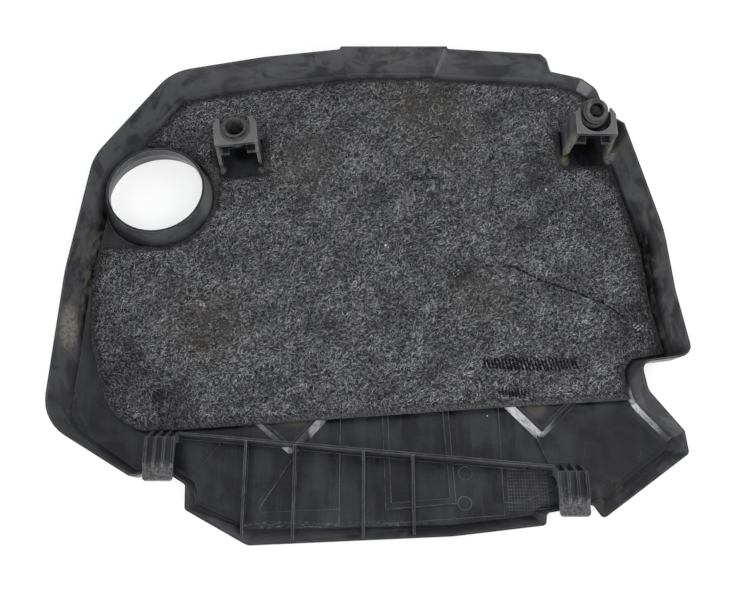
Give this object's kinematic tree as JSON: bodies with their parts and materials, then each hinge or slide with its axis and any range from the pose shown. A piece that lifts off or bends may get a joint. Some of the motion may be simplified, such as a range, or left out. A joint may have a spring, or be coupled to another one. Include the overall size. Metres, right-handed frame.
{
  "type": "engine cover",
  "caption": "Moulded plastic engine cover on its show face, with drafted skirt, oil filler collar, bracket towers, ribbed hooks, rubber grommets and a felt pad inside.",
  "frame": {"origin": "centre of the cover's outline in plan, at the level of the show face it lies on", "axes": "+X along the cover to the notched side, +Y from the front lip to the back skirt, +Z from the show face to the engine side"},
  "size_m": [0.4881, 0.4339, 0.0572],
  "materials": {
    "shell_plastic": "black moulded plastic, satin, scuffed and dusty",
    "felt": "charcoal needle felt with light fibres and a pressed hem",
    "rubber": "black moulded rubber"
  },
  "bodies": {
    "root": {"cover_shell": "shell_plastic", "felt_pad": "felt", "grommet_left": "rubber", "grommet_right": "rubber"}
  },
  "joints": []
}
